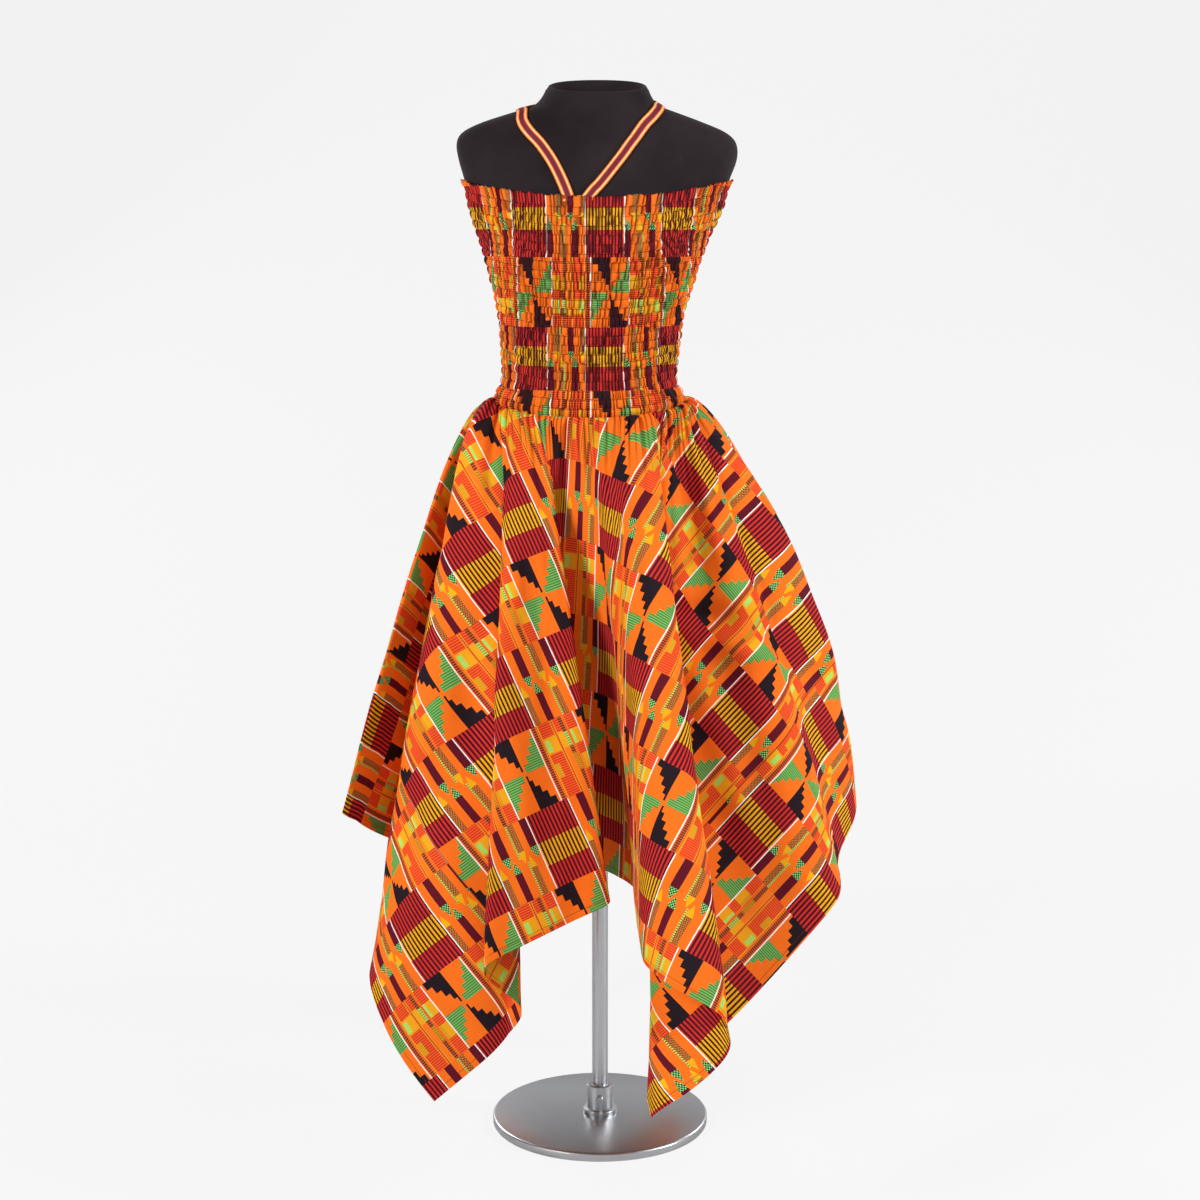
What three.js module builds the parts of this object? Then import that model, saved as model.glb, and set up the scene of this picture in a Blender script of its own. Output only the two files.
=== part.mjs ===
// A sleeveless dress on a limbless dress form: a shirred strapless bodice, two narrow halter ties
// and a square-cut skirt whose four corners hang as points. The cloth rests on the form, which
// stands on a steel pole and a round plate. Millimetres, Z up, the front faces -Y.
import * as THREE from 'three';

// ---- driving dimensions -------------------------------------------------------------------------
const WALL = 1.6;              // thickness of the cloth
const GAP = 0.3;               // kept between pieces that touch
const AROUND = 48;             // facets round the form and the bodice

const SKIRT_HALF = 790;        // half the side of the square that the skirt is cut from
const SKIRT_HOLE = 190;        // radius of its waist hole, gathered onto the bodice
const SEAM_LEFT = -568;        // the two lengthwise joins, where narrow pieces widen the cloth
const SEAM_RIGHT = 592;
const STRIP_START = 1.8;       // degrees past the seam's end where a side piece begins
const SEAM_GAP = 0.8;          // kept along those joins, where both sides bend
const FALL = 600;              // distance below the waist at which the fold table is measured
const PUFF_REACH = 45;         // how far below the waist the gathers spring outwards
const MOST_LEAN = 0.95;        // sine of the steepest slope the cloth may take from the vertical

const WAIST = { halfWidth: 122, halfDepth: 94, x: -13, z: 1010, frontDip: 14, gap: 1 };
const TOP_EDGE = { z: 1300, frontDip: 21 };
const EASE = 1.4;              // between the form and the elastic rows
const FLARE = { from: 1048, over: 38, depth: 7 };  // below the last elastic row the bodice opens

const PLATE = { radius: 150, thickness: 12 };
const POLE_RADIUS = 11;
const SOCKET = { radius: 19, height: 42 };
const FLANGE = { radius: 42, thickness: 5 };
const FORM_BOTTOM = 745;
const BOTTOM_EDGE = { height: 15, start: 2, end: 12 };  // the bottom turns in by this much
const NECK = { base: 1395, rim: 1420, depth: 57, tilt: 11, wall: 7, lip: 4, floor: 1345 };
const STRAP = { width: 15, thickness: 1.6, lift: 3 };

// The form's outline: half width, half depth and centre of each level section.
const FORM_SECTIONS = [
  // z, halfWidth, halfDepth, x, y
  [745, 128, 78, -10, 6],
  [790, 133, 82, -10, 6],
  [850, 132, 84, -11, 5],
  [910, 127, 84, -12, 4],
  [960, 119, 84, -13, 3],
  [1004, 113, 84, -14, 2],
  [1048, 113, 85, -14, 0],
  [1089, 116, 88, -13, -2],
  [1125, 120, 92, -12, -4],
  [1157, 128, 97, -10, -6],
  [1193, 138, 102, -9, -7],
  [1223, 148, 104, -8, -6],
  [1255, 161, 101, -6, -4],
  [1300, 174, 90, -4, 0],
  [1328, 183, 79, -3, 4],
  [1349, 183, 70, -5, 6],
  [1362, 172, 66, -8, 7],
  [1374, 146, 64, -10, 8],
  [1388, 105, 62, -7, 8],
  [1395, 84, 60, -5, 8],
  [1408, 71, 58, -4, 8],
  [1431, 62, 57, -3, 8],
];
const SQUARENESS = 0.89;       // below 1 the sections are a little fuller than ellipses
const BUST = { x: 72, z: 1215, depth: 18, width: 52, height: 55 };

// The skirt's folds, in order round the waist. cut is the angle in the flat square and waist the
// angle at the waist seam, both from the centre front towards +X. x and y say where the fold
// hangs at FALL below the waist, bend how far each side of it the cloth curves, belly how much
// it bows outwards on its way down, and puff how much of its reach it has just below the waist.
const FOLDS = [
  // cut, waist, x, y, bend, belly, puff
  [-87.5, -100, -350, -145, 3, 0.1, 0.17],
  [-71, -92, -222, 55, 3, 0.1, 0.1],
  [-51.5, -83, -293, -190, 6, 0.2, 0.2],
  [-39.2, -72, -113, -205, 2.5, 0.4, 0.05],
  [-36, -68, -103, -192, 1.4, 0, 0],
  [-31.2, -60, -152, -247, 1.8, 0, 0.05],
  [-17.2, -33, 24, -222, 2.5, 0, 0],
  [-9, -25, -78, -178, 2, 0, 0],
  [-5, -20, -95, -130, 1.9, 0, 0],
  [1.1, -14, -85, -62, 2.5, 0, 0],
  [7.2, -8, 0, -85, 2.5, 0, 0],
  [13.4, -2, 50, -145, 2.5, 0, 0],
  [20, 6, 42, -228, 3, 0, 0],
  [30.3, 24, 52, -372, 3, 0.1, 0],
  [37.4, 38, 153, -340, 3, 0.1, 0],
  [45.8, 45, 50, -258, 2.5, -0.7, 0],
  [66, 76, 298, -215, 4, 0.1, 0],
  [72, 84, 298, -150, 3, 0.3, 0],
  [80, 90, 354, -62, 4, 0.85, 0],
  [97, 106, 325, 193, 5, 0.6, 0.1],
  [110, 116, 150, 129, 5, 0.5, 0],
  [124, 127, 215, 318, 5, 0.5, 0.1],
  [138, 139, 95, 158, 5, 0.5, 0],
  [152, 152, 75, 357, 5, 0.5, 0.1],
  [164, 164, 10, 198, 5, 0.5, 0],
  [177, 177, -30, 372, 5, 0.5, 0.1],
  [190, 190, -85, 202, 5, 0.5, 0],
  [204, 205, -150, 380, 5, 0.5, 0.1],
  [217, 218, -150, 205, 5, 0.5, 0],
  [232, 232, -280, 366, 5, 0.4, 0.1],
  [244, 243, -218, 216, 5, 0.4, 0],
  [258, 253, -332, 48, 3, 0.3, 0.2],
  [264, 256, -306, -30, 3, 0.2, 0.1],
];

// Where each halter tie lies on the form: height and angle, from the bodice to the nape.
const LEFT_TIE = [
  [1281.5, -10.5], [1305, -13.5], [1330, -17.5], [1350, -22], [1366, -29], [1378, -40],
  [1386, -55], [1390, -74], [1393, -96], [1395, -120], [1397, -144], [1398, -166],
];
const RIGHT_TIE = [
  [1280.5, -1.8], [1305, 3], [1330, 8], [1350, 13], [1366, 20], [1378, 31],
  [1387, 46], [1393, 66], [1396, 90], [1398, 116], [1398, 142], [1398, 166],
];
const LEFT_TAIL = [[1383, 183], [1364, 185], [1340, 187], [1316, 188.5]];
const RIGHT_TAIL = [[1383, 177], [1362, 174], [1336, 172], [1309, 171]];
const KNOT = { width: 15, depth: 8, height: 11 };

// ---- helpers ------------------------------------------------------------------------------------
const radians = THREE.MathUtils.degToRad;
const mix = THREE.MathUtils.lerp;
const turn = (count, i) => (360 * i) / count;

// Smooth curve through one column of a table whose first column is the position.
function curveThrough(table, column, at) {
  let k = 0;
  while (k < table.length - 2 && at > table[k + 1][0]) k += 1;
  const slope = (i) => {
    const a = table[Math.max(i - 1, 0)];
    const b = table[Math.min(i + 1, table.length - 1)];
    return (b[column] - a[column]) / (b[0] - a[0]);
  };
  const [low, high] = [table[k], table[k + 1]];
  const span = high[0] - low[0];
  const t = THREE.MathUtils.clamp((at - low[0]) / span, 0, 1);
  const t2 = t * t;
  const t3 = t2 * t;
  return (2 * t3 - 3 * t2 + 1) * low[column] + (t3 - 2 * t2 + t) * span * slope(k)
    + (3 * t2 - 2 * t3) * high[column] + (t3 - t2) * span * slope(k + 1);
}

// Closed geometry from points and counter-clockwise triangles.
function solid(points, faces) {
  const geometry = new THREE.BufferGeometry();
  geometry.setAttribute('position', new THREE.Float32BufferAttribute(points.flatMap((p) => p.toArray()), 3));
  geometry.setIndex(faces);
  geometry.computeVertexNormals();
  return geometry;
}

function addQuad(faces, a, b, c, d) {
  faces.push(a, b, c, a, c, d);
}

// Rings joined into one body with a flat cap on its first and last ring.
function loft(rings) {
  const count = rings[0].length;
  const points = rings.flat();
  const faces = [];
  for (let ring = 0; ring < rings.length - 1; ring += 1) {
    for (let i = 0; i < count; i += 1) {
      const next = (i + 1) % count;
      const [a, b] = [ring * count, (ring + 1) * count];
      addQuad(faces, a + i, b + i, b + next, a + next);
    }
  }
  const middle = (ring) => ring.reduce((sum, p) => sum.add(p), new THREE.Vector3()).divideScalar(count);
  const first = points.push(middle(rings[0])) - 1;
  const last = points.push(middle(rings[rings.length - 1])) - 1;
  const start = (rings.length - 1) * count;
  for (let i = 0; i < count; i += 1) {
    const next = (i + 1) % count;
    faces.push(first, i, next);
    faces.push(last, start + next, start + i);
  }
  return solid(points, faces);
}

// Two layers of columns, listed from the top down, joined at their edges into one sheet of cloth.
function sheet(outer, inner, closed) {
  const columns = outer.length;
  const rows = outer[0].length;
  const points = [...outer.flat(), ...inner.flat()];
  const at = (layer, i, j) => (layer * columns + (i % columns)) * rows + j;
  const faces = [];
  const end = rows - 1;
  for (let i = 0; i < (closed ? columns : columns - 1); i += 1) {
    for (let j = 0; j < end; j += 1) {
      addQuad(faces, at(0, i, j), at(0, i, j + 1), at(0, i + 1, j + 1), at(0, i + 1, j));
      addQuad(faces, at(1, i, j), at(1, i + 1, j), at(1, i + 1, j + 1), at(1, i, j + 1));
    }
    addQuad(faces, at(0, i, 0), at(0, i + 1, 0), at(1, i + 1, 0), at(1, i, 0));
    addQuad(faces, at(0, i, end), at(1, i, end), at(1, i + 1, end), at(0, i + 1, end));
  }
  if (!closed) {
    const far = columns - 1;
    for (let j = 0; j < end; j += 1) {
      addQuad(faces, at(0, 0, j), at(1, 0, j), at(1, 0, j + 1), at(0, 0, j + 1));
      addQuad(faces, at(0, far, j), at(0, far, j + 1), at(1, far, j + 1), at(1, far, j));
    }
  }
  return solid(points, faces);
}

// ---- the dress form -----------------------------------------------------------------------------
// Point of the form at a height and an angle from the centre front, moved out by grow.
function formPoint(z, degrees, grow = 0) {
  const [halfWidth, halfDepth, x, y] = [1, 2, 3, 4].map((c) => curveThrough(FORM_SECTIONS, c, z));
  const [side, front] = [Math.sin(radians(degrees)), Math.cos(radians(degrees))];
  const px = (halfWidth + grow) * Math.sign(side) * Math.abs(side) ** SQUARENESS;
  let py = -(halfDepth + grow) * Math.sign(front) * Math.abs(front) ** SQUARENESS;
  const lift = Math.exp(-(((z - BUST.z) / BUST.height) ** 2));
  const across = Math.exp(-(((Math.abs(px) - BUST.x) / BUST.width) ** 2));
  py -= BUST.depth * lift * across * Math.max(front, 0) ** 0.5;
  return new THREE.Vector3(x + px, y + py, z);
}

function formRing(z, grow = 0) {
  return Array.from({ length: AROUND }, (_, i) => formPoint(z, turn(AROUND, i), grow));
}

// The neck's rim and the well inside it lean forward.
function leanForward(ring, rim) {
  const share = THREE.MathUtils.clamp((rim - NECK.base) / (NECK.rim - NECK.base), 0, 1);
  return ring.map((p) => new THREE.Vector3(p.x, p.y, rim + (share * NECK.tilt * p.y) / NECK.depth));
}

// Rings from the floor of the neck's well, over its rim and down the outside to the turned edge.
function formBody() {
  const [inside, lip] = [NECK.rim - NECK.lip, NECK.lip];
  const rings = [NECK.floor, mix(NECK.floor, inside, 0.4), mix(NECK.floor, inside, 0.7), inside]
    .map((z) => leanForward(formRing(NECK.rim, -NECK.wall), z));
  rings.push(leanForward(formRing(NECK.rim, -lip), NECK.rim));
  rings.push(leanForward(formRing(NECK.rim, -0.1 * lip), NECK.rim - 0.75 * lip));
  [0.5, 0.2, 0].forEach((share) => {
    const z = mix(NECK.base, NECK.rim, share);
    rings.push(leanForward(formRing(z), z));
  });
  const edge = FORM_BOTTOM + BOTTOM_EDGE.height;
  FORM_SECTIONS.map((row) => row[0]).filter((z) => z > edge && z < NECK.base).reverse()
    .forEach((z) => rings.push(formRing(z)));
  rings.push(formRing(edge, -BOTTOM_EDGE.start));
  rings.push(formRing(FORM_BOTTOM, -BOTTOM_EDGE.end));
  return loft(rings);
}

// ---- the bodice ---------------------------------------------------------------------------------
const frontShare = (degrees) => Math.max(Math.cos(radians(degrees)), 0) ** 2;
const topEdge = (degrees) => TOP_EDGE.z - TOP_EDGE.frontDip * frontShare(degrees);
const waistHeight = (degrees) => WAIST.z - WAIST.frontDip * frontShare(degrees);

function waistPoint(degrees) {
  const a = radians(degrees);
  return new THREE.Vector3(
    WAIST.x + WAIST.halfWidth * Math.sin(a),
    -WAIST.halfDepth * Math.cos(a),
    waistHeight(degrees),
  );
}

function bodice() {
  const rows = 11;
  const layer = (thickness) => Array.from({ length: AROUND }, (_, i) => {
    const angle = turn(AROUND, i);
    return Array.from({ length: rows }, (__, j) => {
      const z = mix(topEdge(angle), waistHeight(angle) + WAIST.gap, j / (rows - 1));
      const flare = THREE.MathUtils.smoothstep(FLARE.from - z, 0, FLARE.over) * FLARE.depth;
      return formPoint(z, angle, EASE + flare + thickness);
    });
  });
  return sheet(layer(WALL), layer(0), true);
}

// ---- the skirt ----------------------------------------------------------------------------------
// The fold table goes once round, so it is repeated before and after to close the circle.
const LOOPED = [-360, 0, 360].flatMap(
  (offset) => FOLDS.map((row) => [row[0] + offset, row[1] + offset, ...row.slice(2)]),
);

function straight(column, cut) {
  let k = 0;
  while (k < LOOPED.length - 2 && cut > LOOPED[k + 1][0]) k += 1;
  const [a, b] = [LOOPED[k], LOOPED[k + 1]];
  return mix(a[column], b[column], (cut - a[0]) / (b[0] - a[0]));
}

// A fold's reach at FALL below the waist: straight between folds and rounded at each of them.
function reach(column, cut) {
  for (let k = 1; k < LOOPED.length - 1; k += 1) {
    const fold = LOOPED[k];
    const bend = fold[4];
    if (Math.abs(cut - fold[0]) < bend) {
      const u = (cut - fold[0] + bend) / (2 * bend);
      const before = straight(column, fold[0] - bend);
      const after = straight(column, fold[0] + bend);
      return (1 - u) ** 2 * before + 2 * u * (1 - u) * fold[column] + u ** 2 * after;
    }
  }
  return straight(column, cut);
}

// Point of the skirt at an angle of the flat cut, down cloth millimetres below the waist seam.
// The cloth doesn't stretch, so what it spends on leaning outwards is missing from its drop.
function skirtPoint(cut, down) {
  const start = waistPoint(straight(1, cut));
  const away = new THREE.Vector2(reach(2, cut) - start.x, reach(3, cut) - start.y);
  const belly = straight(5, cut);
  const puff = straight(6, cut);
  const t = down / FALL;
  const spread = puff * (1 - Math.exp(-down / PUFF_REACH)) + (1 - puff) * t * (1 + belly * (1 - t));
  const steps = 30;
  let fallen = 0;
  for (let k = 0; k < steps; k += 1) {
    const d = (down * (k + 0.5)) / steps;
    const outwards = (puff * Math.exp(-d / PUFF_REACH)) / PUFF_REACH
      + ((1 - puff) * (1 + belly - (2 * belly * d) / FALL)) / FALL;
    const lean = Math.min(Math.abs(away.length() * outwards), MOST_LEAN);
    fallen += (Math.sqrt(1 - lean * lean) * down) / steps;
  }
  return new THREE.Vector3(start.x + away.x * spread, start.y + away.y * spread, start.z - fallen);
}

function skirtNormal(cut, down) {
  const [turned, reached] = [0.4, 4];
  const across = skirtPoint(cut + turned, down).sub(skirtPoint(cut - turned, down));
  const along = skirtPoint(cut, down + reached).sub(skirtPoint(cut, Math.max(down - reached, 0)));
  return along.cross(across).normalize();
}

const hemDistance = (cut) => {
  const a = radians(cut);
  return SKIRT_HALF / Math.max(Math.abs(Math.cos(a)), Math.abs(Math.sin(a))) - SKIRT_HOLE;
};
// Distance down to the lengthwise seam on that side, past the hem where the seam misses the ray.
const seamDistance = (cut) => {
  const side = Math.sin(radians(cut));
  const seam = side < 0 ? SEAM_LEFT : SEAM_RIGHT;
  return Math.abs(side) < 0.01 ? Infinity : seam / side - SKIRT_HOLE;
};

// Angle from the centre front at which a lengthwise seam runs out at the hem.
const seamEnd = (seam) => THREE.MathUtils.radToDeg(Math.atan(Math.abs(seam) / SKIRT_HALF));

// Cut angles of the columns: across each fold's curve, between folds, and where the edge turns.
function skirtColumns(from, to) {
  const angles = [-45, 45, 135, 225, 315];
  [0, STRIP_START].forEach((past) => {
    const [left, right] = [seamEnd(SEAM_LEFT) + past, seamEnd(SEAM_RIGHT) + past];
    angles.push(-left, right, 180 - right, 180 + left, 360 - left);
  });
  for (let k = 0; k < LOOPED.length - 1; k += 1) {
    const [cut, bend] = [LOOPED[k][0], LOOPED[k][4]];
    [-1, -0.4, 0.4, 1].forEach((share) => angles.push(cut + bend * share));
    angles.push((cut + LOOPED[k + 1][0]) / 2);
  }
  const inside = angles.filter((a) => a > from && a < to).sort((a, b) => a - b);
  return inside.filter((a, i) => i === 0 || a - inside[i - 1] > 0.2);
}

function skirtPiece(angles, top, bottom, rows, closed) {
  const layer = (depth) => angles.map((cut) => Array.from({ length: rows }, (_, j) => {
    const down = mix(top(cut), bottom(cut), (j / (rows - 1)) ** 1.15);
    return skirtPoint(cut, down).addScaledVector(skirtNormal(cut, down), -depth);
  }));
  return sheet(layer(0), layer(WALL), closed);
}

function skirtMain() {
  const bottom = (cut) => Math.min(hemDistance(cut), seamDistance(cut) - SEAM_GAP);
  const once = skirtColumns(-90, 270);
  return skirtPiece(once, () => 0, bottom, 12, true);
}

// The piece joined on at one side: a strip between the seam and the square's edge.
function skirtSide(seam) {
  const middle = Math.sign(seam) * 90;
  const half = 90 - seamEnd(seam) - STRIP_START;
  const wanted = seam < 0 ? middle + 360 : middle;
  const ends = [wanted - half, wanted + half];
  const angles = skirtColumns(ends[0] - 0.01, ends[1] + 0.01);
  return skirtPiece(angles, (cut) => seamDistance(cut) + SEAM_GAP, hemDistance, 5, false);
}

// ---- the halter ties ----------------------------------------------------------------------------
// A flat band that follows the form through the listed heights and angles.
function band(route, lift) {
  const spots = route.map(([z, angle]) => new THREE.Vector3(z, angle, 0));
  const smooth = new THREE.CatmullRomCurve3(spots, false, 'centripetal');
  const steps = route.length * 3;
  const place = (u) => {
    const spot = smooth.getPoint(THREE.MathUtils.clamp(u, 0, 1));
    return { spot, point: formPoint(spot.x, spot.y) };
  };
  const rings = Array.from({ length: steps + 1 }, (_, k) => {
    const u = k / steps;
    const { spot, point } = place(u);
    const along = place(u + 0.02).point.sub(place(u - 0.02).point).normalize();
    const round = formPoint(spot.x, spot.y + 1).sub(formPoint(spot.x, spot.y - 1));
    const up = formPoint(spot.x + 1, spot.y).sub(formPoint(spot.x - 1, spot.y));
    const out = round.cross(up).normalize();
    const wide = along.clone().cross(out).normalize().multiplyScalar(STRAP.width / 2);
    const normal = wide.clone().cross(along).normalize();
    const low = point.clone().addScaledVector(normal, lift);
    const high = low.clone().addScaledVector(normal, STRAP.thickness);
    return [low.clone().sub(wide), low.clone().add(wide), high.clone().add(wide), high.clone().sub(wide)];
  });
  return loft(rings);
}

// ---- the object ---------------------------------------------------------------------------------
const FLOCK = { color: 0x2b2427, roughness: 0.95, metalness: 0 };
const COTTON = { color: 0xe8642a, roughness: 0.85, metalness: 0 };
const STEEL = { color: 0xb9bcc0, roughness: 0.35, metalness: 1 };

const dress = new THREE.Group();

function addPiece(name, geometry, look) {
  const mesh = new THREE.Mesh(geometry, new THREE.MeshStandardMaterial(look));
  mesh.name = name;
  dress.add(mesh);
  return mesh;
}

function turned(name, profile, z) {
  const geometry = new THREE.LatheGeometry(profile.map(([r, h]) => new THREE.Vector2(r, h)), 40);
  const mesh = addPiece(name, geometry, STEEL);
  mesh.rotation.x = Math.PI / 2;
  mesh.position.z = z;
  return mesh;
}

const flangeBottom = FORM_BOTTOM - GAP - FLANGE.thickness;
turned('stand_plate', [
  [0, 0], [PLATE.radius - 2, 0], [PLATE.radius, 2], [PLATE.radius, PLATE.thickness - 3],
  [PLATE.radius - 3, PLATE.thickness], [0, PLATE.thickness],
], 0);
turned('stand_socket', [
  [POLE_RADIUS + GAP, 0], [SOCKET.radius + 5, 0], [SOCKET.radius + 5, 6], [SOCKET.radius, 9],
  [SOCKET.radius, SOCKET.height - 2], [SOCKET.radius - 2, SOCKET.height],
  [POLE_RADIUS + GAP, SOCKET.height], [POLE_RADIUS + GAP, 0],
], PLATE.thickness + GAP);
turned('stand_pole', [
  [0, 0], [POLE_RADIUS, 0], [POLE_RADIUS, flangeBottom - PLATE.thickness - 2 * GAP],
  [0, flangeBottom - PLATE.thickness - 2 * GAP],
], PLATE.thickness + GAP);
turned('form_flange', [
  [0, 0], [FLANGE.radius - 1, 0], [FLANGE.radius, 1], [FLANGE.radius, FLANGE.thickness],
  [0, FLANGE.thickness],
], flangeBottom);

addPiece('form_body', formBody(), FLOCK);
addPiece('bodice', bodice(), COTTON);
addPiece('skirt_main', skirtMain(), COTTON);
addPiece('skirt_side_left', skirtSide(SEAM_LEFT), COTTON);
addPiece('skirt_side_right', skirtSide(SEAM_RIGHT), COTTON);
addPiece('tie_left', band(LEFT_TIE, STRAP.lift), COTTON);
addPiece('tie_right', band(RIGHT_TIE, STRAP.lift), COTTON);
addPiece('tie_tail_left', band(LEFT_TAIL, STRAP.lift), COTTON);
addPiece('tie_tail_right', band(RIGHT_TAIL, STRAP.lift), COTTON);

const knot = addPiece('tie_knot', new THREE.SphereGeometry(1, 20, 12), COTTON);
knot.scale.set(KNOT.width, KNOT.depth, KNOT.height);
knot.position.copy(formPoint(1397, 180)).add(new THREE.Vector3(0, KNOT.depth + 3, 0));

// The origin is the middle of the object's box, on the floor.
dress.updateMatrixWorld(true);
const box = new THREE.Box3().setFromObject(dress, true);
const centre = box.getCenter(new THREE.Vector3());
dress.position.set(-centre.x, -centre.y, -box.min.z);
dress.updateMatrixWorld(true);

export default dress;
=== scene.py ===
"""A kente-print dress with a shirred bodice and a handkerchief hem, worn on a limbless dress form."""
import math

import bpy
import numpy as np
from mathutils import Matrix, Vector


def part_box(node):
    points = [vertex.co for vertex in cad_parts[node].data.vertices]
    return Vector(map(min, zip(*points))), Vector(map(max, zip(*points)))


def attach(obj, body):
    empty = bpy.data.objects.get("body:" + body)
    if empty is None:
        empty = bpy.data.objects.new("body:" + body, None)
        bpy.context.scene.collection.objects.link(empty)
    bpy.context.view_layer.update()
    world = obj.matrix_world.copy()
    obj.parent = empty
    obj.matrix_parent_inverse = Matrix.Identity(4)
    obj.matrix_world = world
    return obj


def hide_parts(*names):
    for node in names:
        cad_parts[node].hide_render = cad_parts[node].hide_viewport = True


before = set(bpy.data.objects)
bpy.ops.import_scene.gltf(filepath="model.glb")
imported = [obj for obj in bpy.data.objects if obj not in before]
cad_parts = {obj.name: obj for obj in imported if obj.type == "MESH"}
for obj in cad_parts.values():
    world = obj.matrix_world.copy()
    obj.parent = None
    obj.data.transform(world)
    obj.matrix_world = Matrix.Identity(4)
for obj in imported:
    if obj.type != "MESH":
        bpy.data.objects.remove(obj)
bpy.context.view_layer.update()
MM = 0.001


# ---- Camera, light and floor ------------------------------------------------------------
# A long lens just under the form's shoulder height, looking slightly down. Everything is
# placed from the axis of the stand's pole, in millimetres, and turned into metres at the end.
pole_low, pole_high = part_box("stand_pole")
AXIS = np.array([(pole_low.x + pole_high.x) / 2, (pole_low.y + pole_high.y) / 2, 0.0])

CAMERA_BACK = 3107
CAMERA_HEIGHT = 1262
CAMERA_DOWN = 9.53
camera = bpy.data.objects.new("camera", bpy.data.cameras.new("camera"))
camera.data.lens = 69.8
camera.data.sensor_width = 36
camera.location = AXIS + np.array([0, -CAMERA_BACK, CAMERA_HEIGHT]) * MM
camera.rotation_euler = (math.radians(90 - CAMERA_DOWN), 0, 0)
bpy.context.collection.objects.link(camera)
bpy.context.scene.camera = camera
bpy.context.scene.view_settings.view_transform = "Standard"

LAMPS = [
    # name, position in metres from the axis, size, power, aimed at height
    ("left", (-2.5, -2.1, 2.0), 0.8, 96, 0.85),
    ("right", (3.2, -0.85, 2.0), 0.8, 88, 0.85),
    ("high_right", (1.3, -1.3, 3.3), 1.2, 20, 0.85),
    ("front", (0.4, -3.6, 1.9), 1.2, 18, 0.9),
    ("back_left", (-2.2, 2.6, 2.2), 1.6, 42, 0.9),
    ("back_right", (2.4, 2.4, 2.0), 1.6, 30, 0.9),
]
for name, place, size, power, aim in LAMPS:
    lamp = bpy.data.objects.new(f"lamp_{name}", bpy.data.lights.new(f"lamp_{name}", "AREA"))
    lamp.data.size = size
    lamp.data.energy = power
    lamp.location = AXIS + np.array(place)
    towards = np.array([0, 0, aim]) - np.array(place)
    flat_reach = math.hypot(towards[0], towards[1])
    lamp.rotation_euler = (math.atan2(flat_reach, -towards[2]), 0, math.atan2(-towards[0], towards[1]))
    bpy.context.collection.objects.link(lamp)


def set_up(node, values):
    """Numbers and colours on a node's own sockets."""
    for name, value in values.items():
        node.inputs[name].default_value = value
    return node


def new_node(tree, kind, values=()):
    return set_up(tree.nodes.new("ShaderNode" + kind), dict(values))


def wire(output, socket):
    output.id_data.links.new(output, socket)


def spread(value, low, high):
    """A node output from 0 to 1 spread between two numbers, in the output's own tree."""
    made = new_node(value.id_data, "MapRange", {"To Min": low, "To Max": high})
    wire(value, made.inputs["Value"])
    return made.outputs["Result"]


# The surroundings look white, and light the dress only a little.
SURROUND_LIGHT = 0.05
SURROUND_SEEN = 1.0
world = bpy.data.worlds.new("studio")
world.use_nodes = True
surroundings = set_up(world.node_tree.nodes["Background"], {"Color": (1, 1, 1, 1)})
world_ray = new_node(world.node_tree, "LightPath")
world_strength = spread(world_ray.outputs["Is Camera Ray"], SURROUND_LIGHT, SURROUND_SEEN)
wire(world_strength, surroundings.inputs["Strength"])
bpy.context.scene.world = world


def dye(red, green, blue):
    """A colour from its screen values, 0 to 255, as the linear colour that shaders use."""
    return tuple((value / 255) ** 2.2 for value in (red, green, blue)) + (1,)


def plain_material(name, colour, roughness, metallic=0.0):
    material = bpy.data.materials.new(name)
    material.use_nodes = True
    shader = material.node_tree.nodes["Principled BSDF"]
    set_up(shader, {"Base Color": colour, "Roughness": roughness, "Metallic": metallic})
    return material, material.node_tree, shader


def grid_object(name, points, closed, material, maps=()):
    """A mesh from columns of points, each listed from the top down, as they go round to the right."""
    columns, rows = points.shape[:2]
    mesh = bpy.data.meshes.new(name)
    across = np.arange(columns if closed else columns - 1)
    down = np.arange(rows - 1)
    left, top = np.meshgrid(across, down, indexing="ij")
    right = (left + 1) % columns
    corners = [left * rows + top, left * rows + top + 1, right * rows + top + 1, right * rows + top]
    faces = np.stack(corners, axis=-1).reshape(-1, 4)
    mesh.vertices.add(columns * rows)
    mesh.vertices.foreach_set("co", ((points * MM) + AXIS).reshape(-1))
    mesh.loops.add(faces.size)
    mesh.loops.foreach_set("vertex_index", faces.reshape(-1))
    mesh.polygons.add(len(faces))
    mesh.polygons.foreach_set("loop_start", np.arange(0, faces.size, 4))
    mesh.polygons.foreach_set("loop_total", np.full(len(faces), 4))
    mesh.update(calc_edges=True)
    mesh.validate()
    for map_name, values in maps:
        # values has one more column than points where the cloth closes on itself
        wrap = np.stack([left, left, left + 1, left + 1], axis=-1).reshape(-1)
        line = np.stack([top, top + 1, top + 1, top], axis=-1).reshape(-1)
        layer = mesh.uv_layers.new(name=map_name)
        layer.data.foreach_set("uv", values[wrap, line].astype(np.float32).reshape(-1))
    mesh.polygons.foreach_set("use_smooth", np.full(len(faces), True))
    mesh.materials.append(material)
    made = bpy.data.objects.new(name, mesh)
    bpy.context.collection.objects.link(made)
    return made


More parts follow.
